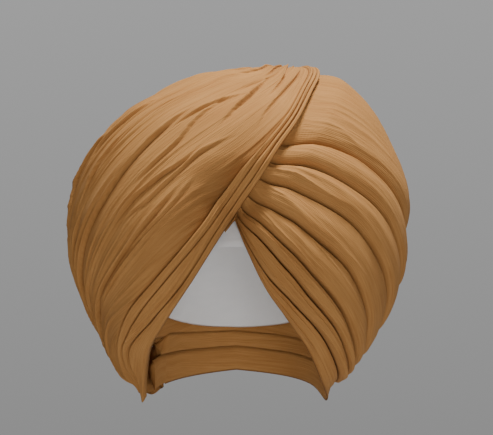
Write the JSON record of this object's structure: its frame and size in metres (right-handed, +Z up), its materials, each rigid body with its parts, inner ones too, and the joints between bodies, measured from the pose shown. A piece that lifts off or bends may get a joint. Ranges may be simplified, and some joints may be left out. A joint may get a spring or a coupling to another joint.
{
  "type": "tied turban",
  "caption": "Tied cloth turban with a hollow for the head, stacked folds on one side, a broad outer wrap over the other and a peak over the brow.",
  "frame": {"origin": "top of the hollow for the head, inside the under-turban, where the turban sits on the crown of a head", "axes": "+Z up, the wearer faces -Y, +X is the wearer's left"},
  "size_m": [0.2894, 0.2829, 0.2849],
  "materials": {
    "brown_muslin": "matte woven cotton",
    "white_cotton": "matte woven cotton"
  },
  "bodies": {
    "root": {"under_turban": "white_cotton", "inner_wraps": "brown_muslin", "larh_1": "brown_muslin", "larh_2": "brown_muslin", "larh_3": "brown_muslin", "larh_4": "brown_muslin", "larh_5": "brown_muslin", "larh_6": "brown_muslin", "larh_7": "brown_muslin", "larh_8": "brown_muslin", "outer_wrap": "brown_muslin", "edge_pleat_1": "brown_muslin", "edge_pleat_2": "brown_muslin", "edge_pleat_3": "brown_muslin"}
  },
  "joints": []
}
